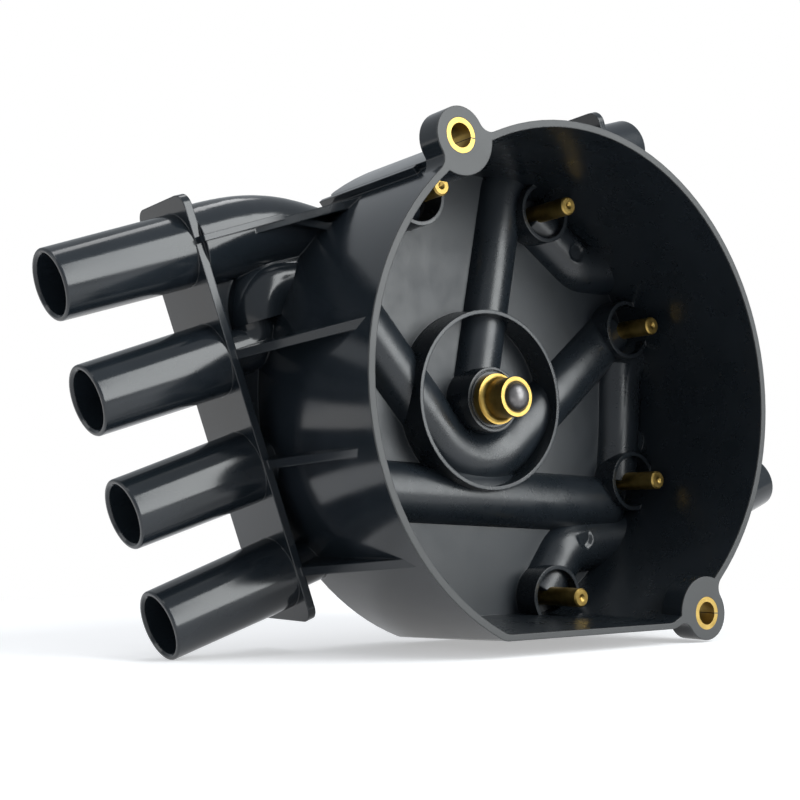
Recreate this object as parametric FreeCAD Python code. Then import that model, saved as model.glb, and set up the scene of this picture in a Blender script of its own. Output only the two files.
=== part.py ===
import FreeCAD, Part

import math
import os

from FreeCAD import Placement, Rotation, Vector

# Distributor cap for an eight-cylinder engine, lying on the flat of its wall.
# Millimetres. The cap is shaped about its own axis, which is Y: depth 0 is the mouth, and depth grows
# into the cap. X points to the right-hand bank of towers and Z runs along the rows of towers. At the
# end every piece is turned about Y, so that the flat of the wall faces the ground.

# Wall of the cap
mouth_radius = 57.5
wall_growth = 0.1
rim_width = 1.5
cavity_draft = 1.0
cavity_depth = 39.9
floor_thickness = 3.5
floor_back = cavity_depth + floor_thickness
back_edge_round = 0.8

# Flat in the wall
flat_angle = -109.75
flat_inset = 5.5
flat_distance = mouth_radius - flat_inset
flat_growth = 2.3
flat_wall = 1.3
flat_cavity_draft = 0.4
flat_corner = 4.5

# Screw ears and their bushings
ear_angle = 105.6
ear_reach = 2.6
ear_pitch_radius = mouth_radius + ear_reach
ear_radius = 6.0
ear_boss_radius = 8.2
ear_fillet = 3.0
ear_depth = 6.0
bushing_radius = 3.65
screw_hole_radius = 2.55
bushing_seam = 0.25
bushing_seam_side = -20.0

# Locating pad and its rib on top of the wall
pad_from = 95.0
pad_to = 110.3
pad_height = 1.3
pad_front = 5.0
pad_overhang = 1.6
pad_round = 3.0
locating_rib_angle = 112.0
locating_rib_width = 1.1
locating_rib_height = 1.6
locating_rib_front = 9.5

# Conductor plane, and the two layers of strip in it
lead_behind_floor = 2.1
lead_depth = cavity_depth + lead_behind_floor
duct_behind_floor = 1.6
duct_depth = cavity_depth + duct_behind_floor
strip_width = 2.6
strip_thickness = 1.2
strip_behind_floor = 0.5
front_layer = cavity_depth + strip_behind_floor
layer_gap = 1.4
back_layer = front_layer + strip_thickness + layer_gap
strip_entry = 2.5

# Terminal pins
pin_count = 8
pin_inset = 7.1
pin_circle = mouth_radius - pin_inset
pin_phase = 4.0
pin_radius = 2.2
pin_length = 14.9
pin_tip_depth = cavity_depth - pin_length
pin_tip_chamfer = 0.35
punch_radius = 0.9
punch_depth = 0.5

# Collars round the pins
collar_radius = 7.4
collar_wall = 1.0
collar_height = 6.6
collar_depth = cavity_depth - collar_height
pin_boss_radius = 4.4
pin_boss_height = 2.2

# Ring wall and centre boss
ring_radius = 21.1
ring_wall = 0.95
ring_height = 7.5
ring_depth = cavity_depth - ring_height
ring_draft = 0.4
boss_radius = 7.6
boss_height = 7.8
boss_depth = cavity_depth - boss_height
boss_draft = 0.3
boss_groove_radius = 6.6
boss_groove_width = 0.3

# Centre contact
flange_radius = 5.9
flange_height = 1.7
flange_depth = boss_depth - flange_height
tube_radius = 4.58
tube_length = 6.5
tube_depth = flange_depth - tube_length
tube_fillet = 0.9
tube_bore = 3.9
lip_radius = 3.3
lip_length = 1.0
ferrule_floor = 1.0
button_radius = 3.0
button_foot_radius = 3.6
button_foot_length = 2.2
button_proud = 0.5
button_dome = 0.9
button_gap = 0.3
spring_wire = 0.5
spring_turns = 6
spring_clearance = 0.35

# Towers
plate_offset = 4.8
plate_face = mouth_radius + plate_offset
tower_length = 29.1
tower_end = plate_face + tower_length
coil_tower_length = 13.7
coil_tower_end = plate_face + coil_tower_length
tower_end_radius = 7.34
tower_root_radius = 7.9
tower_bore_radius = 6.1
socket_depth = 25.4
tower_backing = 5.5
tower_mouth_round = 0.45
left_tower_count = 4
right_tower_count = 4
left_top_inset = 5.8
left_top_tower = mouth_radius - left_top_inset
right_low_inset = 6.5
right_low_tower = right_low_inset - mouth_radius
right_top_inset = 37.85
right_top_tower = mouth_radius - right_top_inset
tower_pitch = (right_top_tower - right_low_tower) / (right_tower_count - 1)
coil_tower_inset = 9.2
coil_tower_height = mouth_radius - coil_tower_inset

# Terminals in the towers
post_radius = 3.1
post_length = 11.4
post_taper = 0.8
post_waist = 2.5
post_waist_share = 0.55
post_waist_length = 0.9
post_flange_radius = 4.2
post_flange = 1.0
root_radius = 2.6
root_length = 7.0

# Plates, ribs and webs of the banks
plate_thickness = 1.8
plate_before_back = 9.4
plate_front = floor_back - plate_before_back
plate_behind_back = 11.1
plate_back = floor_back + plate_behind_back
plate_margin = 10.8
plate_corner = 3.0
rib_thickness = 1.8
rib_front = 1.2
short_rib_length = 15.4
short_rib_front = floor_back - short_rib_length
short_rib_beyond = 40.0
web_thickness = 1.8
web_step = 0.5

# Ducts that the conductors lie in. The points of their routes suit this mouth radius and move with it.
routed_radius = 57.5
duct_radius = 5.0
wide_duct_radius = 6.3
exit_duct_radius = 4.7
horn_radius = 8.7
duct_bend = 6.0
centre_turn_radius = 14.8
mark_radius = 2.0
mark_depth = 0.35

back_radius = mouth_radius + wall_growth
cavity_mouth_radius = mouth_radius - rim_width
cavity_floor_radius = cavity_mouth_radius - cavity_draft
plate_inside = plate_face - plate_thickness
joining_tolerance = 0.001
INTO_CAP = Vector(0, 1, 0)
LAID_DOWN = Rotation(INTO_CAP, flat_angle + 90.0)


def polar(radius, angle):
    """The point (x, z) at a radius and an angle about the cap's axis."""
    turn = math.radians(angle)
    return radius * math.cos(turn), radius * math.sin(turn)


def disc(radius, front, back, centre=(0.0, 0.0)):
    """A cylinder along the cap's axis, between two depths."""
    base = Vector(centre[0], front, centre[1])
    return Part.makeCylinder(radius, back - front, base, INTO_CAP)


def drafted(front_radius, rear_radius, front, back, centre=(0.0, 0.0)):
    """A cylinder along the cap's axis whose radius changes with depth."""
    if abs(front_radius - rear_radius) < 0.001:
        return disc(front_radius, front, back, centre)
    base = Vector(centre[0], front, centre[1])
    return Part.makeCone(front_radius, rear_radius, back - front, base, INTO_CAP)


def revolved(profile, base, axis):
    """The solid that a closed half profile of (radius, length along the axis) sweeps round an axis."""
    side = Rotation(Vector(0, 0, 1), axis).multVec(Vector(1, 0, 0))
    points = [base + side * radius + axis * length for radius, length in profile]
    face = Part.Face(Part.makePolygon(points + points[:1]))
    return face.revolve(base, axis, 360)


def prism(points, depth_vector):
    """A closed outline of points, extruded."""
    return Part.Face(Part.makePolygon(points + points[:1])).extrude(depth_vector)


def route(points, depth, bend):
    """A path in the plane at one depth: straight runs through (x, z) points, with an arc at each corner.

    bend is the arcs' radius, or a list with one radius for each corner.
    """
    corners = [Vector(x, depth, z) for x, z in points]
    bends = bend if isinstance(bend, list) else [bend] * (len(corners) - 2)
    edges = []
    start = corners[0]
    for before, corner, after, radius in zip(corners, corners[1:], corners[2:], bends):
        arriving = (corner - before).normalize()
        leaving = (after - corner).normalize()
        half_turn = arriving.getAngle(leaving) / 2
        reach = radius * math.tan(half_turn)
        enter = corner - arriving * reach
        leave = corner + leaving * reach
        inward = (leaving - arriving).normalize()
        middle = corner + inward * radius * (1 / math.cos(half_turn) - 1)
        edges.append(Part.LineSegment(start, enter).toShape())
        edges.append(Part.Arc(enter, middle, leave).toShape())
        start = leave
    edges.append(Part.LineSegment(start, corners[-1]).toShape())
    return Part.Wire(edges)


def duct(points, radius, bend=duct_bend):
    """A round duct along a route in the conductor plane."""
    path = route(points, duct_depth, bend)
    start = path.Vertexes[0].Point
    heading = path.Edges[0].tangentAt(path.Edges[0].FirstParameter)
    profile = Part.Wire(Part.makeCircle(radius, start, heading))
    return path.makePipeShell([profile], True, False)


def strip(points, front, bend=duct_bend):
    """A flat conductor strip with round ends along a route, its front face at a depth."""
    outline = route(points, front, bend).makeOffset2D(strip_width / 2)
    body = Part.Face(outline).extrude(Vector(0, strip_thickness, 0))
    return body


def in_cap(x, z):
    """A point of a route, given for the routed radius and moved in or out with the wall."""
    return x * mouth_radius / routed_radius, z * mouth_radius / routed_radius


def wall_x(z, radius):
    """How far from the cap's middle plane a round wall lies at a height z."""
    return math.sqrt(radius ** 2 - z ** 2)


# Places that the pieces share: pins round their circle, and the towers of both banks

pins = [polar(pin_circle, pin_phase + 360.0 / pin_count * (1 - k)) for k in range(pin_count)]
pin_1, pin_2, pin_3, pin_4, pin_8, pin_7, pin_6, pin_5 = pins
ears = [polar(ear_pitch_radius, ear_angle), polar(ear_pitch_radius, ear_angle + 180.0)]
left_heights = [left_top_tower - k * tower_pitch for k in range(left_tower_count)]
right_heights = [right_low_tower + k * tower_pitch for k in range(right_tower_count)]

# One entry for each tower: name, side, height z, distance of its mouth from the middle plane
towers = []
for number, height in enumerate(left_heights, start=1):
    towers.append((f"left_{number}", -1, height, tower_end))
for number, height in enumerate(reversed(right_heights), start=1):
    towers.append((f"right_{number}", 1, height, tower_end))
towers.append(("coil", 1, coil_tower_height, coil_tower_end))


def cup_block(front_radius, rear_radius, front, back, distance, growth):
    """A drafted disc with one flat side, its two flat corners rounded."""
    block = drafted(front_radius, rear_radius, front, back)
    wide = 4 * mouth_radius
    cutter = Part.makeBox(wide, wide, wide, Vector(-wide / 2, -wide / 2, -distance - wide))
    lean = math.degrees(math.atan2(growth, back))
    cutter.rotate(Vector(0, 0, -distance), Vector(1, 0, 0), -lean)
    cutter.rotate(Vector(0, 0, 0), INTO_CAP, -(flat_angle + 90.0))
    block = block.cut(cutter)
    corners = []
    for edge in block.Edges:
        middle = LAID_DOWN.multVec(edge.CenterOfMass)
        lengthwise = edge.BoundBox.YLength > 0.9 * (back - front)
        if lengthwise and middle.z < -0.5 * distance:
            corners.append(edge)
    return block.makeFillet(flat_corner, corners)


def ear_web(angle):
    """The ear outside the wall: a round lobe that two hollow curves join to the wall."""
    across = mouth_radius + ear_fillet
    reach = ear_radius + ear_fillet
    cosine = (across ** 2 + ear_pitch_radius ** 2 - reach ** 2) / (2 * across * ear_pitch_radius)
    spread = math.degrees(math.acos(cosine))
    centre = Vector(ear_pitch_radius, 0, 0)
    sides = []
    for sign in (1, -1):
        x, z = polar(across, sign * spread)
        hollow = Vector(x, 0, z)
        foot = hollow * (mouth_radius / across)
        top = centre + (hollow - centre) * (ear_radius / reach)
        middle = hollow + ((foot + top) * 0.5 - hollow).normalize() * ear_fillet
        inner = hollow * ((mouth_radius - rim_width * 0.7) / across)
        sides.append((inner, foot, middle, top))
    (inner_a, foot_a, middle_a, top_a), (inner_b, foot_b, middle_b, top_b) = sides
    outline = Part.Wire([
        Part.LineSegment(inner_a, foot_a).toShape(),
        Part.Arc(foot_a, middle_a, top_a).toShape(),
        Part.Arc(top_a, centre + Vector(ear_radius, 0, 0), top_b).toShape(),
        Part.Arc(top_b, middle_b, foot_b).toShape(),
        Part.LineSegment(foot_b, inner_b).toShape(),
        Part.LineSegment(inner_b, inner_a).toShape(),
    ])
    web = Part.Face(outline).extrude(Vector(0, ear_depth, 0))
    web.rotate(Vector(0, 0, 0), INTO_CAP, -angle)
    return web


def sector(inner, outer, front, back, start, end):
    """A piece of a ring about the cap's axis, between two angles."""
    low_x, low_z = polar(1.0, start)
    outward = Vector(low_x, 0, low_z)
    corners = []
    for radius, depth in ((inner, front), (outer, front), (outer, back), (inner, back)):
        corners.append(outward * radius + Vector(0, depth, 0))
    face = Part.Face(Part.makePolygon(corners + corners[:1]))
    return face.revolve(Vector(0, 0, 0), Vector(0, -1, 0), end - start)


def locating_pad():
    """A shallow pad on the wall, rounded at its rear end, and the thin rib beside it."""
    sunk = mouth_radius - rim_width / 2
    back = floor_back + pad_overhang
    pad = sector(sunk, mouth_radius + pad_height, pad_front, back, pad_from, pad_to)
    rear_edges = []
    for edge in pad.Edges:
        box = edge.BoundBox
        radial = edge.Length < 2 * (mouth_radius + pad_height - sunk)
        if radial and box.YLength < 0.01 and box.YMin > back - 0.01:
            rear_edges.append(edge)
    pad = pad.makeFillet(pad_round, rear_edges)
    half_width = math.degrees(locating_rib_width / 2 / mouth_radius)
    crest = mouth_radius + locating_rib_height
    rib = sector(
        sunk, crest, locating_rib_front, back,
        locating_rib_angle - half_width, locating_rib_angle + half_width,
    )
    return [pad, rib]


def tower(side, height, mouth):
    """One tower: a drafted spigot that stands on the bank's plate, its mouth edge rounded."""
    root = min(plate_inside, mouth - socket_depth - tower_backing)
    length = mouth - root
    base = Vector(side * root, lead_depth, height)
    spigot = Part.makeCone(tower_root_radius, tower_end_radius, length, base, Vector(side, 0, 0))
    mouth_edges = [edge for edge in spigot.Edges if abs(edge.CenterOfMass.x - side * mouth) < 0.01]
    return spigot.makeFillet(tower_mouth_round, mouth_edges)


def tower_bore(side, height, mouth):
    """The socket in a tower, with a small lead-in at its mouth."""
    lead_in = tower_mouth_round
    profile = [
        (0, 0),
        (tower_bore_radius, 0),
        (tower_bore_radius, socket_depth - lead_in),
        (tower_bore_radius + lead_in, socket_depth + 0.001),
        (tower_bore_radius + lead_in, socket_depth + 1),
        (0, socket_depth + 1),
    ]
    bottom = Vector(side * (mouth - socket_depth), lead_depth, height)
    return revolved(profile, bottom, Vector(side, 0, 0))


def bank_plate(side, low, high):
    """The flat plate that carries a bank of towers, its corners rounded."""
    corner = Vector(plate_inside if side > 0 else -plate_face, plate_front, low)
    plate = Part.makeBox(plate_thickness, plate_back - plate_front, high - low, corner)
    edges = [edge for edge in plate.Edges if edge.BoundBox.XLength > 0.5 * plate_thickness]
    return plate.makeFillet(plate_corner, edges)


def bank_rib(side, height):
    """A thin gusset from the plate to the cap's wall, in line with one tower."""
    anchor = wall_x(height, mouth_radius - rim_width / 2)
    wall_end = short_rib_front if abs(height) > short_rib_beyond else rib_front
    low = height - rib_thickness / 2
    outer = side * (plate_inside + plate_thickness / 2)
    points = [
        Vector(outer, plate_front + plate_corner / 2, low),
        Vector(side * anchor, wall_end, low),
        Vector(side * anchor, floor_back - back_edge_round, low),
        Vector(outer, floor_back, low),
    ]
    return prism(points, Vector(0, 0, rib_thickness))


def bank_web(side, low, high):
    """The sheet between the plate and the wall, a step in front of the floor's back."""
    front = floor_back - web_step - web_thickness
    outer = plate_inside + plate_thickness / 2
    corner = Vector(0 if side > 0 else -outer, front, low)
    sheet = Part.makeBox(outer, web_thickness, high - low, corner)
    return sheet.cut(disc(mouth_radius - rim_width / 2, front - 1, floor_back + 1))


def horn(height):
    """The wide mouth of the top left duct, which narrows as it bends down to the wall."""
    sections = [
        (plate_inside, height, horn_radius, 0.0),
        (plate_inside - 11.0, height, horn_radius - 0.1, 0.0),
        (plate_inside - 20.5, height - 1.0, horn_radius - 0.9, 12.0),
        (plate_inside - 30.0, height - 3.6, horn_radius - 2.3, 18.0),
        (plate_inside - 40.0, height - 6.4, duct_radius, 14.0),
    ]
    rings = []
    for distance, z, radius, fall in sections:
        heading = Vector(math.cos(math.radians(fall)), 0, -math.sin(math.radians(fall)))
        rings.append(Part.Wire(Part.makeCircle(radius, Vector(-distance, duct_depth, z), heading)))
    return Part.makeLoft(rings, True, False)


# Routes of the ducts and of the strips in them, as (x, z) points in the conductor plane

left_1, left_2, left_3, left_4 = left_heights
right_4, right_3, right_2, right_1 = right_heights
turn_below_centre = in_cap(-8.4, -18.9)
left_wall_turn = in_cap(-32.8, 41.5)
left_quarter_bend = in_cap(-51.0, 41.5)
coil_turn = (in_cap(27.6, 0)[0], coil_tower_height)
root_end = plate_inside + plate_thickness
strip_end = tower_end - socket_depth - root_length + strip_entry
coil_strip_end = coil_tower_end - socket_depth - root_length + strip_entry

route_1 = [pin_1, in_cap(40.5, 26.5), (in_cap(49.0, 0)[0], right_1)]
route_2 = [pin_2, turn_below_centre, left_wall_turn, left_quarter_bend, (left_quarter_bend[0], left_2)]
route_2_bends = [centre_turn_radius, duct_bend, 7.5, 4.0]
route_3 = [pin_3, in_cap(30.0, -35.2), in_cap(-36.0, -9.6), (in_cap(-46.0, 0)[0], left_3)]
route_4 = [pin_4, in_cap(13.5, -42.3), in_cap(46.0, -48.8), (in_cap(52.0, 0)[0], right_4)]
route_5 = [pin_5, in_cap(-22.0, 46.0), (in_cap(-38.0, 0)[0], left_1)]
route_6 = [pin_6, in_cap(-29.0, 32.0), turn_below_centre, in_cap(34.0, -2.7), in_cap(46.0, -6.0), (in_cap(54.0, 0)[0], right_2)]
route_6_bends = [3.0, centre_turn_radius, duct_bend, duct_bend, duct_bend]
route_7 = [pin_7, in_cap(-43.0, -6.6), in_cap(30.0, -34.4), in_cap(42.0, -22.5), (in_cap(52.0, 0)[0], right_3)]
route_8 = [pin_8, in_cap(-42.0, -25.0), (in_cap(-50.0, 0)[0], left_4)]
route_coil = [(0.0, 0.0), coil_turn]


def to_tower(points, side, end):
    """A route with its last run, level with its tower, added."""
    return points + [(side * end, points[-1][1])]


def body_ducts():
    """The round ducts that stand out of the floor on both sides, with the stubs outside the wall."""
    between = [in_cap(39.5, -29.0), in_cap(49.5, -5.0)]
    return [
        duct(to_tower(route_coil, 1, root_end), duct_radius),
        duct(to_tower(route_1, 1, root_end), duct_radius, 5.0),
        duct(to_tower(route_2, -1, root_end), duct_radius, route_2_bends),
        duct([pin_7, in_cap(34.0, -37.0)], wide_duct_radius),
        duct(to_tower(route_3[-2:], -1, root_end), duct_radius),
        duct(to_tower(route_4, 1, root_end), duct_radius, [5.0, 8.0, 8.0]),
        duct(route_5[:2], duct_radius),
        duct(to_tower(route_8, -1, root_end), duct_radius),
        duct(between, wide_duct_radius),
        duct(to_tower(route_6[-2:], 1, root_end), exit_duct_radius, 4.0),
        duct(to_tower(route_7[-2:], 1, root_end), exit_duct_radius, 4.0),
        duct(route_6[:2], duct_radius - 0.1),
        horn(left_1),
    ]


def cap_body(inserts):
    """The black moulding, hollowed for every metal piece that is moulded into it."""
    shell = cup_block(mouth_radius, back_radius, 0, floor_back, flat_distance, flat_growth)
    back_edges = [edge for edge in shell.Edges if edge.BoundBox.YMin > floor_back - 0.01]
    shell = shell.makeFillet(back_edge_round, back_edges)
    cavity = cup_block(
        cavity_mouth_radius, cavity_floor_radius, 0, cavity_depth,
        flat_distance - flat_wall, -flat_cavity_draft,
    )
    shell = shell.cut(cavity)

    added = []
    for (x, z), angle in zip(ears, (ear_angle, ear_angle + 180.0)):
        boss = disc(ear_boss_radius, 0, ear_depth, (x, z))
        added.append(ear_web(angle))
        added.append(boss.common(disc(mouth_radius, 0, ear_depth)))
    added += locating_pad()

    added += body_ducts()
    plate_ranges = (
        (-1, left_heights[-1] - plate_margin, left_heights[0] + plate_margin),
        (1, right_heights[0] - plate_margin, coil_tower_height + plate_margin),
    )
    for side, low, high in plate_ranges:
        added.append(bank_plate(side, low, high))
        added.append(bank_web(side, low + plate_margin, high - plate_margin))
    for name, side, height, mouth in towers:
        added.append(tower(side, height, mouth))
        added.append(bank_rib(side, height))

    ring_foot = ring_radius + ring_draft
    ring = drafted(ring_radius, ring_foot, ring_depth, cavity_depth)
    ring = ring.cut(disc(ring_radius - ring_wall, ring_depth - 1, cavity_depth + 1))
    added.append(ring)
    added.append(drafted(boss_radius, boss_radius + boss_draft, boss_depth, cavity_depth))
    for pin in pins:
        added.append(disc(collar_radius, collar_depth, cavity_depth, pin).common(cavity))
        added.append(disc(pin_boss_radius, cavity_depth, floor_back + pin_boss_height, pin))
    body = shell.fuse(added, joining_tolerance)

    wells = [disc(collar_radius - collar_wall, collar_depth - 1, cavity_depth, pin) for pin in pins]
    taken = [well.common(cavity) for well in wells]
    taken += [tower_bore(side, height, mouth) for name, side, height, mouth in towers]
    groove = disc(boss_groove_radius + boss_groove_width, boss_depth - 1, boss_depth + boss_groove_width)
    groove = groove.cut(disc(boss_groove_radius, boss_depth - 2, cavity_depth))
    taken.append(groove)
    for mark in (in_cap(46.0, 23.0), in_cap(24.0, -44.4)):
        crest = duct_depth - duct_radius
        taken.append(disc(mark_radius, crest - 1, crest + mark_depth, mark))
    body = body.cut(taken + inserts, joining_tolerance)
    return body.removeSplitter()


def bushing(centre):
    """A rolled brass bushing in an ear, with the thin seam of its joint left open."""
    seam_angle = math.degrees(bushing_seam / bushing_radius)
    sleeve = sector(
        screw_hole_radius, bushing_radius, 0, ear_depth,
        bushing_seam_side, bushing_seam_side + 360.0 - seam_angle,
    )
    sleeve.translate(Vector(centre[0], 0, centre[1]))
    return sleeve


def terminal_pin(centre, root_depth):
    """A round brass pin with a bevelled tip and a punch mark in its end."""
    tip = pin_tip_chamfer
    profile = [
        (0, pin_tip_depth + punch_depth),
        (punch_radius, pin_tip_depth),
        (pin_radius - tip, pin_tip_depth),
        (pin_radius, pin_tip_depth + tip),
        (pin_radius, root_depth),
        (0, root_depth),
    ]
    return revolved(profile, Vector(centre[0], 0, centre[1]), INTO_CAP)


def contact_ferrule():
    """The brass cup in the centre boss: tube with a rolled lip, flange, and closed sleeve."""
    foot = flange_depth - tube_fillet
    outline = [
        (lip_radius, tube_depth),
        (tube_radius, tube_depth),
        (tube_radius, foot),
        (flange_radius, flange_depth),
        (flange_radius, boss_depth),
        (tube_radius, boss_depth),
        (tube_radius, front_layer),
        (0, front_layer),
        (0, front_layer - ferrule_floor),
        (tube_bore, front_layer - ferrule_floor),
        (tube_bore, tube_depth + lip_length),
        (lip_radius, tube_depth + lip_length),
    ]
    points = [Vector(radius, depth, 0) for radius, depth in outline]
    edges = []
    for index, (start, end) in enumerate(zip(points, points[1:] + points[:1])):
        if index == 2:
            bow = Vector(0.3, 0.3, 0).multiply(-(flange_radius - tube_radius) / 2)
            middle = (start + end) * 0.5 + Vector(bow.x, -bow.y, 0)
            edges.append(Part.Arc(start, middle, end).toShape())
        else:
            edges.append(Part.LineSegment(start, end).toShape())
    return Part.Face(Part.Wire(edges)).revolve(Vector(0, 0, 0), INTO_CAP, 360)


def carbon_button():
    """The domed carbon button, with the foot that the ferrule's lip keeps in."""
    shoulder = tube_depth + lip_length + button_gap
    crown = tube_depth - button_proud
    edge_depth = crown + button_dome
    apex = Vector(0, crown, 0)
    rim_point = Vector(button_radius, edge_depth, 0)
    dome_radius = (button_radius ** 2 + button_dome ** 2) / (2 * button_dome)
    half_angle = math.asin(button_radius / dome_radius) / 2
    middle = Vector(
        dome_radius * math.sin(half_angle), crown + dome_radius * (1 - math.cos(half_angle)), 0,
    )
    foot_back = shoulder + button_foot_length
    chain = [
        rim_point,
        Vector(button_radius, shoulder, 0),
        Vector(button_foot_radius, shoulder, 0),
        Vector(button_foot_radius, foot_back, 0),
        Vector(0, foot_back, 0),
        apex,
    ]
    edges = [Part.Arc(apex, middle, rim_point).toShape()]
    for start, end in zip(chain, chain[1:]):
        edges.append(Part.LineSegment(start, end).toShape())
    return Part.Face(Part.Wire(edges)).revolve(Vector(0, 0, 0), INTO_CAP, 360)


def contact_spring():
    """The coil spring behind the button: half turns of round wire, each leaning by half the pitch."""
    start = tube_depth + lip_length + button_gap + button_foot_length + spring_wire / 2
    end = front_layer - ferrule_floor - spring_wire / 2
    coil_radius = tube_bore - spring_clearance - spring_wire / 2
    rise = (end - start) / (2 * spring_turns)
    half_turns = []
    for k in range(2 * spring_turns):
        side = 1 if k % 2 == 0 else -1
        here = Vector(side * coil_radius, start + k * rise, 0)
        there = Vector(-side * coil_radius, start + (k + 1) * rise, 0)
        section = Part.Face(Part.Wire(Part.makeCircle(spring_wire / 2, here, Vector(0, 0, 1))))
        axis = Vector(0, 0, side).cross(there - here)
        half_turns.append(section.revolve((here + there) * 0.5, axis, 180))
    return half_turns[0].fuse(half_turns[1:])


def tower_terminal(side, height, mouth):
    """The brass post in a tower: root in the moulding, flange on the socket's floor, waisted post."""
    length = post_length
    waist = post_flange + (length - post_flange) * post_waist_share
    profile = [
        (0, -root_length),
        (root_radius, -root_length),
        (root_radius, 0),
        (post_flange_radius, 0),
        (post_flange_radius, post_flange),
        (post_radius, post_flange),
        (post_radius, waist - post_taper),
        (post_waist, waist),
        (post_waist, waist + post_waist_length),
        (post_radius, waist + post_waist_length + post_taper),
        (post_radius, length - post_taper),
        (post_radius - post_taper, length),
        (0, length),
    ]
    bottom = Vector(side * (mouth - socket_depth), lead_depth, height)
    return revolved(profile, bottom, Vector(side, 0, 0))


# Strips: route, side, layer, and the radii of the corners

strip_routes = {
    "lead_1": (route_1, 1, front_layer, 5.0),
    "lead_2": (route_2, -1, front_layer, route_2_bends),
    "lead_3": (route_3, -1, front_layer, 3.0),
    "lead_4": (route_4, 1, front_layer, [5.0, 8.0, 8.0]),
    "lead_5": (route_5, -1, front_layer, duct_bend),
    "lead_6": (route_6, 1, back_layer, route_6_bends),
    "lead_7": (route_7, 1, back_layer, 4.0),
    "lead_8": (route_8, -1, front_layer, duct_bend),
    "coil_lead": (route_coil, 1, front_layer, duct_bend),
}

pieces = {}
for name, (points, side, layer, bend) in strip_routes.items():
    end = coil_strip_end if name == "coil_lead" else strip_end
    pieces[name] = strip(to_tower(points, side, end), layer, bend)
for name, side, height, mouth in towers:
    terminal = tower_terminal(side, height, mouth)
    for lead in strip_routes:
        if terminal.BoundBox.intersect(pieces[lead].BoundBox):
            terminal = terminal.cut(pieces[lead])
    pieces[f"tower_terminal_{name}"] = terminal
pin_numbers = (1, 2, 3, 4, 8, 7, 6, 5)
for number, centre in zip(pin_numbers, pins):
    layer = back_layer if number in (6, 7) else front_layer
    pieces[f"terminal_pin_{number}"] = terminal_pin(centre, layer)
pieces["ear_bushing_upper"] = bushing(ears[0])
pieces["ear_bushing_lower"] = bushing(ears[1])
pieces["contact_ferrule"] = contact_ferrule()

moulded_in = list(pieces.values())
moulded_in.append(disc(tube_bore + 0.1, tube_depth - 1, front_layer - ferrule_floor / 2))
moulded_in += [disc(screw_hole_radius, -1, ear_depth + 1, centre) for centre in ears]
pieces["cap_body"] = cap_body(moulded_in)
pieces["carbon_button"] = carbon_button()
pieces["contact_spring"] = contact_spring()

os.makedirs("parts", exist_ok=True)
for name, shape in pieces.items():
    placed = shape.copy()
    placed.Placement = Placement(Vector(0, 0, 0), LAID_DOWN).multiply(placed.Placement)
    placed.exportStep(f"parts/{name}.step")
    print(name, len(placed.Solids), placed.isValid(), round(placed.Volume, 1))
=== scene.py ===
import bpy
import numpy as np
from mathutils import Matrix, Vector


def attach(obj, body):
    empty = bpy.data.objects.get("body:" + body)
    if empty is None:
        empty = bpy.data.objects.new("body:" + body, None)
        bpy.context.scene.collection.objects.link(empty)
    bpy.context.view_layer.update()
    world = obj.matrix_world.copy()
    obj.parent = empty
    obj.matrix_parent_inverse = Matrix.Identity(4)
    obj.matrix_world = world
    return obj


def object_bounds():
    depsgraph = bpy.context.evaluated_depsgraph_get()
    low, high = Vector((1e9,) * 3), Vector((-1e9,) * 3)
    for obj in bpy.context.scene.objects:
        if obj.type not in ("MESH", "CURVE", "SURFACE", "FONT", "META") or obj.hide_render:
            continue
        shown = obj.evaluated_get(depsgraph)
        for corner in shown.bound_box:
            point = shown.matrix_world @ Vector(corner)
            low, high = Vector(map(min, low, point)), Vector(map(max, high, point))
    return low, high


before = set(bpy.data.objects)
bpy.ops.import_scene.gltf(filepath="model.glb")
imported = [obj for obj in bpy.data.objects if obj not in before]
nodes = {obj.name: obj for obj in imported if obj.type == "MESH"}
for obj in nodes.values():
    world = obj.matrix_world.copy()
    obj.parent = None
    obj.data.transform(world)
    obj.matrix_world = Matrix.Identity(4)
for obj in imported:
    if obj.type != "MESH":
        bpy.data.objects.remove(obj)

cad_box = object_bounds()


# The studio
# The cap lies on a white table before a white wall, with its open mouth turned to the lens. The lens
# is 27 mm above the table, some 300 mm away, and looks up by 5 degrees.

lens_place = Vector((-0.19705, -0.2014, -0.02824))
look = Vector((0.5864, 0.8047, 0.0922)).normalized()
above = Vector((-0.0500, -0.0777, 0.9958))
across = look.cross(above).normalized()
above = across.cross(look)

lens = bpy.data.cameras.new("studio_lens")
lens.lens = 59.27
lens.sensor_width = 36.0
lens.clip_start = 0.005
lens.clip_end = 20.0
camera = bpy.data.objects.new("studio_camera", lens)
bpy.context.collection.objects.link(camera)
camera.matrix_world = Matrix.Translation(lens_place) @ Matrix((across, above, -look)).transposed().to_4x4()
bpy.context.scene.camera = camera

table_height = cad_box[0].z


def piece_of(name, corners, faces):
    """A new mesh in the scene with those corners and faces."""
    mesh = bpy.data.meshes.new(name)
    mesh.from_pydata(corners, [], faces)
    piece = bpy.data.objects.new(name, mesh)
    bpy.context.collection.objects.link(piece)
    return piece


class Signal:
    """A value in a material. Python arithmetic on it adds Math nodes."""

    def __init__(self, finish, node, output):
        self.finish, self.node, self.output = finish, node, output

    def other(self, output):
        return Signal(self.finish, self.node, output)

    def _math(self, operation, *values):
        return self.finish.node("ShaderNodeMath", {"operation": operation}, dict(enumerate(values)))

    def __add__(self, other):
        return self._math("ADD", self, other)

    def __mul__(self, other):
        return self._math("MULTIPLY", self, other)

    def __lt__(self, other):
        return self._math("LESS_THAN", self, other)

    def __gt__(self, other):
        return self._math("GREATER_THAN", self, other)


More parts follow.
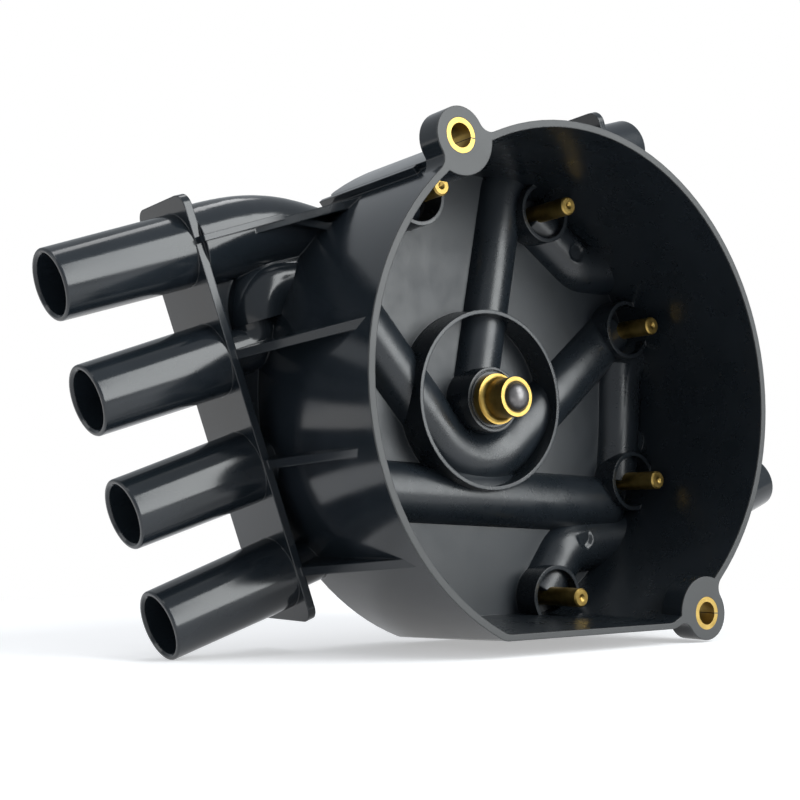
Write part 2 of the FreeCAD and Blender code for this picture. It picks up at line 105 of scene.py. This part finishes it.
class Finish:
    """A material that is put together from nodes."""

    def __init__(self, name):
        self.material = bpy.data.materials.new(name)
        self.material.use_nodes = True
        self.tree = self.material.node_tree
        self.tree.nodes.clear()

    def node(self, kind, settings=None, sockets=None, output=0):
        """Adds a node: its settings first, then a value or a link for each named or numbered socket."""
        made = self.tree.nodes.new(kind)
        for name, value in (settings or {}).items():
            setattr(made, name, value)
        for key, value in (sockets or {}).items():
            if isinstance(value, Signal):
                self.tree.links.new(value.node.outputs[value.output], made.inputs[key])
            else:
                made.inputs[key].default_value = value
        return Signal(self, made, output)

    def place(self):
        return self.node("ShaderNodeTexCoord", output="Object")

    def from_axis(self):
        """How far the place is from the cap's axis, which is the y axis."""
        flat = self.node("ShaderNodeVectorMath", {"operation": "MULTIPLY"}, {0: self.place(), 1: (1.0, 0.0, 1.0)})
        return self.node("ShaderNodeVectorMath", {"operation": "LENGTH"}, {0: flat}, output="Value")

    def mix(self, share, first, second):
        """A colour that goes from the first to the second as share goes from 0 to 1."""
        return self.node("ShaderNodeMix", {"data_type": "RGBA"}, {0: share, 6: first, 7: second}, output=2)

    def grain(self, size, detail=2.0, roughness=0.5):
        """Noise from 0 to 1 with features of that size in metres."""
        sockets = {"Vector": self.place(), "Scale": 1.0 / size, "Detail": detail, "Roughness": roughness}
        return self.node("ShaderNodeTexNoise", {}, sockets)

    def ramp(self, value, low, high, first=0.0, last=1.0):
        """A value that goes from first to last as the given one goes from low to high, and no further."""
        sockets = {0: value, 1: low, 2: high, 3: first, 4: last}
        return self.node("ShaderNodeMapRange", {"clamp": True}, sockets)

    def bump(self, height, distance, strength, normal=None):
        """A surface direction that follows that height, full at that distance in metres."""
        sockets = {"Strength": strength, "Distance": distance, "Height": height}
        if normal:
            sockets["Normal"] = normal
        return self.node("ShaderNodeBump", {}, sockets)

    def surface(self, sockets):
        """The finished material, a principled surface with those sockets."""
        shader = self.node("ShaderNodeBsdfPrincipled", {}, sockets)
        self.node("ShaderNodeOutputMaterial", {}, {"Surface": shader})
        return self.material


def wear(piece, material):
    """The piece shows that material all over."""
    piece.data.materials.clear()
    piece.data.materials.append(material)


# The table is lit like the cap within a hand's breadth of it, so that its shadows show, and plain
# white beyond.

cap_foot = (0.0, 0.03, table_height)
lit_reach, white_reach = 0.13, 0.24

table_finish = Finish("white_table")
reach = table_finish.node(
    "ShaderNodeVectorMath", {"operation": "DISTANCE"}, {0: table_finish.place(), 1: cap_foot}, output="Value"
)
path = table_finish.node("ShaderNodeLightPath", output="Is Camera Ray")
lit = table_finish.node("ShaderNodeBsdfDiffuse", {}, {"Color": (0.80, 0.80, 0.81, 1.0)})
glow = table_finish.node("ShaderNodeEmission", {}, {"Color": (1.0, 1.0, 1.0, 1.0), "Strength": 0.40})
near = table_finish.node("ShaderNodeAddShader", {}, {0: lit, 1: glow})
white = table_finish.node("ShaderNodeEmission", {}, {"Color": (1.0, 1.0, 1.0, 1.0), "Strength": 1.0})
far = table_finish.ramp(reach, lit_reach, white_reach)
plain = table_finish.node("ShaderNodeMixShader", {}, {0: far, 1: near, 2: white})
seen = path + path.other("Is Glossy Ray") + path.other("Is Transmission Ray")
table_shader = table_finish.node("ShaderNodeMixShader", {}, {0: seen, 1: lit, 2: plain})
table_finish.node("ShaderNodeOutputMaterial", {}, {"Surface": table_shader})

table_corners = [(x, y, table_height) for x, y in ((-3, -0.45), (3, -0.45), (3, 3), (-3, 3))]
table = piece_of("table", table_corners, [(0, 1, 2, 3)])
wear(table, table_finish.material)

world = bpy.data.worlds.new("studio_air")
bpy.context.scene.world = world
world.use_nodes = True
air = world.node_tree
air.nodes.clear()
air_path = air.nodes.new("ShaderNodeLightPath")
air_seen = air.nodes.new("ShaderNodeBackground")
air_lit = air.nodes.new("ShaderNodeBackground")
air_lit.inputs["Color"].default_value = (0.9, 0.95, 1.0, 1.0)
air_lit.inputs["Strength"].default_value = 0.55
air_mix = air.nodes.new("ShaderNodeMixShader")
air_out = air.nodes.new("ShaderNodeOutputWorld")
air_seen.inputs["Color"].default_value = (1.0, 1.0, 1.0, 1.0)
air.links.new(air_path.outputs["Is Camera Ray"], air_mix.inputs[0])
air.links.new(air_lit.outputs[0], air_mix.inputs[1])
air.links.new(air_seen.outputs[0], air_mix.inputs[2])
air.links.new(air_mix.outputs[0], air_out.inputs["Surface"])
bpy.context.scene.view_settings.view_transform = "Standard"


def softbox(name, place, size, watts, colour=(1.0, 1.0, 1.0)):
    """A rectangular lamp at that place, turned towards the cap, of that width and height."""
    lamp = bpy.data.lights.new(name, "AREA")
    lamp.shape = "RECTANGLE"
    lamp.size, lamp.size_y = size
    lamp.energy = watts
    lamp.color = colour
    holder = bpy.data.objects.new(name, lamp)
    bpy.context.collection.objects.link(holder)
    holder.location = place
    holder.rotation_euler = (-Vector(place)).to_track_quat("-Z", "Y").to_euler()


softbox("overhead_softbox", (-0.10, 0.10, 0.85), (1.1, 0.14), 1.7)
softbox("front_softbox", (0.50, -0.97, 0.42), (0.70, 1.5), 22.0, (0.97, 1.0, 1.0))
softbox("left_softbox", (-0.95, 0.25, 0.30), (0.5, 0.4), 1.0)


# The moulding
# One injection moulding of black thermoset-like plastic: cup, ears, locating pad, spark plug towers
# with their ducts, and the ribs and webs between them. It is glossy outside and satin on the floor.

rim_face = 0.00035
wall_inside = 0.0563
floor_face = 0.0394
floor_back = 0.0402
edge_round = 0.00035

moulding_black = Finish("moulding_black")
spot = moulding_black.node("ShaderNodeSeparateXYZ", {}, {0: moulding_black.place()})
depth = spot.other("Y")
face_mask = depth < rim_face
inside = (moulding_black.from_axis() < wall_inside) * (depth < floor_back) * (depth > rim_face)
shade = moulding_black.grain(0.012, 3.0)
fine = moulding_black.grain(0.00035, 2.0)
mottle = moulding_black.ramp(shade, 0.3, 0.7)
black = moulding_black.mix(mottle, (0.009, 0.0125, 0.016, 1.0), (0.013, 0.017, 0.022, 1.0))
colour = moulding_black.mix(face_mask, black, (0.040, 0.042, 0.043, 1.0))
on_floor = depth > floor_face
rough = moulding_black.ramp(shade, 0.3, 0.7, 0.12, 0.18) + face_mask * 0.34 + inside * (on_floor * 0.12 + 0.10)
flow = moulding_black.grain(0.005, 5.0, roughness=0.65)
rough = rough + inside * moulding_black.ramp(flow, 0.35, 0.7, 0.0, 0.09)
edge = moulding_black.node("ShaderNodeBevel", {"samples": 6}, {"Radius": edge_round})
skin = moulding_black.bump(fine + moulding_black.grain(0.0012, 2.0) * 0.5, 0.00003, inside * 0.35 + 0.12, edge)
moulding_material = moulding_black.surface({"Base Color": colour, "Roughness": rough, "Normal": skin})
wear(nodes["cap_body"], moulding_material)


# The ducts
# Round ducts with the leads inside them stand half out of the cap's floor, each from its pin's collar
# to the wall. They are wider than the ones of the frame model, so these lie over those.

lying_turn = np.radians(19.75)
conductor_depth = 42.0
pin_circle = 50.4
pins = [pin_circle * np.array([np.cos(a), np.sin(a)]) for a in np.radians(49.0 - 45.0 * np.arange(8))]
pin_1, pin_2, pin_3, pin_4, pin_8, pin_7, _, pin_5 = pins


def laid_down(x, y, z):
    """Places about the cap's own axis in millimetres, turned onto its flat, in metres."""
    c, s = np.cos(lying_turn), np.sin(lying_turn)
    return np.stack([c * x - s * z, y + 0 * x, s * x + c * z], axis=-1) / 1000.0


def surface_of(name, places):
    """A smooth mesh over a grid of places that closes on itself along its second direction."""
    rows, columns = places.shape[:2]
    here = np.arange(rows * columns).reshape(rows, columns)
    beside = np.roll(here, -1, axis=1)
    faces = np.stack([here[:-1], beside[:-1], beside[1:], here[1:]], axis=-1).reshape(-1, 4)
    piece = piece_of(name, places.reshape(-1, 3).tolist(), faces.tolist())
    piece.data.shade_smooth()
    return piece


step = 0.4


def way(points, bends):
    """Places (x, z) and headings, one step of millimetres apart, along straight runs that arcs of those radii join."""
    points = [np.asarray(p, float) for p in points]
    places, headings = [], []
    start = points[0]
    for before, corner, after, bend in zip(points, points[1:], points[2:], bends):
        arriving = (corner - before) / np.linalg.norm(corner - before)
        leaving = (after - corner) / np.linalg.norm(after - corner)
        turn = np.arctan2(np.cross(arriving, leaving), arriving @ leaving)
        enter = corner - arriving * bend * np.tan(abs(turn) / 2)
        run = np.arange(0.0, np.linalg.norm(enter - start), step)[:, None]
        places.append(start + run * arriving)
        headings.append(np.broadcast_to(arriving, (len(run), 2)))
        a = np.arange(0.0, abs(turn), step / bend)[:, None]
        inward = np.sign(turn) * np.array([-arriving[1], arriving[0]])
        places.append(enter + bend * (np.sin(a) * arriving + (1 - np.cos(a)) * inward))
        headings.append(np.cos(a) * arriving + np.sin(a) * inward)
        start = corner + leaving * bend * np.tan(abs(turn) / 2)
    last = points[-1] - start
    run = np.linspace(0.0, 1.0, int(np.linalg.norm(last) / step) + 2)[:, None]
    places.append(start + run * last)
    headings.append(np.broadcast_to(last / np.linalg.norm(last), (len(run), 2)))
    return np.concatenate(places), np.concatenate(headings)


crest_marks = ((18.7, -41.0), (41.8, 26.4))
mark_radius, mark_depth, crest_depth = 2.25, 35.75, 36.0


def duct(name, points, radius, bends=(), domed=True):
    """A round duct, P(s, a) = C(s) + r (cos a n(s) + sin a y), with n square to the way C and y into the cap.

    Its far end is domed: r = R cos t at a reach of R sin t beyond the end. Two moulding marks are
    pressed flat into the crests.
    """
    places, headings = way(points, bends)
    t = np.linspace(0.0, np.pi / 2, 14)[1:, None] if domed else np.zeros((1, 1))
    places = np.concatenate([places[:1], places, places[-1] + radius * np.sin(t) * headings[-1]])
    headings = np.concatenate([headings[:1], headings, np.repeat(headings[-1:], len(t), axis=0)])
    width = np.full(len(places), radius)
    width[0] = 0.0
    width[-len(t):] = radius * np.cos(t[:, 0]) if domed else 0.0
    a = np.linspace(0.0, 2 * np.pi, 96, endpoint=False)
    x = places[:, :1] - width[:, None] * np.cos(a) * headings[:, 1:]
    z = places[:, 1:] + width[:, None] * np.cos(a) * headings[:, :1]
    y = conductor_depth + width[:, None] * np.sin(a)
    for mark_x, mark_z in crest_marks:
        marked = (np.hypot(x - mark_x, z - mark_z) < mark_radius) & (y < crest_depth)
        y = np.where(marked, mark_depth, y)
    piece = surface_of(name, laid_down(x, y, z))
    wear(piece, moulding_material)
    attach(piece, "cap")


low_row, top_row = -51.0, -51.0 + 23.55 * 3
wall = 60.5
duct("duct_coil", [(0, 0), (28.4, 48.3), (wall, 48.3)], 6.8, [8.0], False)
duct("duct_right_1", [pin_1, (44.0, 23.0), (54.0, top_row), (wall, top_row)], 7.1, [8.0, 8.0], False)
duct(
    "duct_left_2",
    [pin_2, (-6.4, -18.1), (-28.7, 36.8), (-49.0, 39.5), (-49.0, 33.3)],
    7.1, [14.8, 8.0, 5.4], False,
)
duct("duct_left_3", [pin_7, (31.5, -37.1)], 7.2)
duct("duct_right_2", [pin_3, (50.4, -6.0), (wall, -3.9)], 7.0, [8.0], False)
duct(
    "duct_right_4",
    [pin_4, (15.2, -42.4), (46.0, -49.6), (54.0, low_row), (wall, low_row)],
    7.1, [8.0, 8.0, 8.0], False,
)
duct("duct_left_1", [pin_5, (-20.5, 45.6)], 7.1)
duct("duct_left_4", [pin_8, (-42.0, -25.0)], 7.1)


# The bank's ledge and sheet
# A bent ledge runs along the top left duct from the towers' plate to the wall, and a sheet closes the
# gap between the plate, that duct and the one below it.


def slab(name, outline, front, back):
    """A flat piece of an outline of (x, z) points between two depths, all in millimetres."""
    x, z = np.array(outline, float).T
    count = len(x)
    places = np.concatenate([laid_down(x, np.full(count, front), z), laid_down(x, np.full(count, back), z)])
    ring = list(range(count))
    sides = [(k, (k + 1) % count, (k + 1) % count + count, k + count) for k in ring]
    ends = [tuple(reversed(ring)), tuple(k + count for k in ring)]
    piece = piece_of(name, places.tolist(), ends + sides)
    wear(piece, moulding_material)
    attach(piece, "cap")


slab("bank_sheet", [(-61.4, 29.0), (-46.0, 29.0), (-40.0, 50.0), (-61.4, 50.0)], 41.1, 42.9)
ledge_below = [(-61.4, 51.8), (-42.4, 52.0), (-31.5, 47.4), (-23.7, 47.9)]
ledge_above = [(-22.7, 48.8), (-31.0, 49.0), (-42.0, 53.4), (-61.4, 53.2)]
slab("top_ledge", ledge_below + ledge_above, 31.6, 43.0)


# The metal
# Brass for the ear bushings, contacts, strips and tower clips, carbon for the centre button, and
# spring steel behind it.

brass = Finish("brass")
brass_tone = brass.ramp(brass.grain(0.002, 3.0), 0.3, 0.7)
brass_skin = brass.bump(brass.grain(0.00025, 3.0), 0.00003, 0.45)
brass_material = brass.surface(
    {
        "Base Color": brass.mix(brass_tone, (0.36, 0.24, 0.065, 1.0), (0.50, 0.35, 0.11, 1.0)),
        "Metallic": 1.0,
        "Roughness": brass.ramp(brass_tone, 0.0, 1.0, 0.36, 0.48),
        "Normal": brass_skin,
    }
)
for name, node in nodes.items():
    if name.startswith(("ear_bushing", "terminal_pin", "lead_", "coil_lead", "tower_terminal")):
        wear(node, brass_material)

# The ferrule's lip is rolled in, with painted shade inside the roll: its colour is darkened there. Its flange keeps
# the lathe's fine rings.
roll_bore, roll_crest, roll_depth = 0.00355, 0.00385, 0.0245
ring_turns = 16000.0  # radians of the sine per metre

cup = Finish("ferrule_brass")
cup_place = cup.node("ShaderNodeSeparateXYZ", {}, {0: cup.place()})
cup_axis = cup.from_axis()
# Painted shade: the brass colour is turned dark brown inside the lip's roll, where shade falls.
roll_shade = cup.ramp(cup_axis, roll_bore, roll_crest, 1.0, 0.0) * (cup_place.other("Y") < roll_depth)
rings = cup.node("ShaderNodeMath", {"operation": "SINE"}, {0: cup_axis * ring_turns})
cup_tone = cup.ramp(cup.grain(0.002, 3.0), 0.3, 0.7)
cup_brass = cup.mix(cup_tone, (0.38, 0.25, 0.065, 1.0), (0.54, 0.37, 0.11, 1.0))
wear(
    nodes["contact_ferrule"],
    cup.surface(
        {
            "Base Color": cup.mix(roll_shade, cup_brass, (0.035, 0.028, 0.016, 1.0)),
            "Metallic": 1.0,
            "Roughness": cup.ramp(cup_tone, 0.0, 1.0, 0.34, 0.46),
            "Normal": cup.bump(rings + cup.grain(0.00025, 3.0) * 2.0, 0.00001, 0.5),
        }
    ),
)

carbon = Finish("carbon")
carbon_material = carbon.surface(
    {
        "Base Color": carbon.mix(carbon.grain(0.0008, 3.0), (0.10, 0.097, 0.10, 1.0), (0.21, 0.20, 0.20, 1.0)),
        "Metallic": 0.7,
        "Roughness": 0.34,
        "Normal": carbon.bump(carbon.grain(0.0003), 0.00003, 0.35),
    }
)
wear(nodes["carbon_button"], carbon_material)

# The button's worn crown stands out of the ferrule's lip as a full dome, r = R cos t and H sin t
# high, on a short collar that goes into the button.
crown_radius, crown_height, crown_foot, crown_inside = 3.25, 2.2, 23.95, 24.6
t = np.linspace(0.0, np.pi / 2, 24)[:, None]
a = np.linspace(0.0, 2 * np.pi, 64, endpoint=False)
across_dome = np.concatenate([[[crown_radius]], crown_radius * np.cos(t)])
out_of_lip = np.concatenate([[[crown_inside]], crown_foot - crown_height * np.sin(t)])
crown = surface_of("button_crown", laid_down(across_dome * np.cos(a), out_of_lip, -across_dome * np.sin(a)))
wear(crown, carbon_material)
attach(crown, "button")

steel = Finish("spring_steel")
wear(
    nodes["contact_spring"],
    steel.surface(
        {
            "Base Color": steel.mix(steel.grain(0.001), (0.42, 0.43, 0.45, 1.0), (0.55, 0.56, 0.58, 1.0)),
            "Metallic": 1.0,
            "Roughness": 0.3,
        }
    ),
)
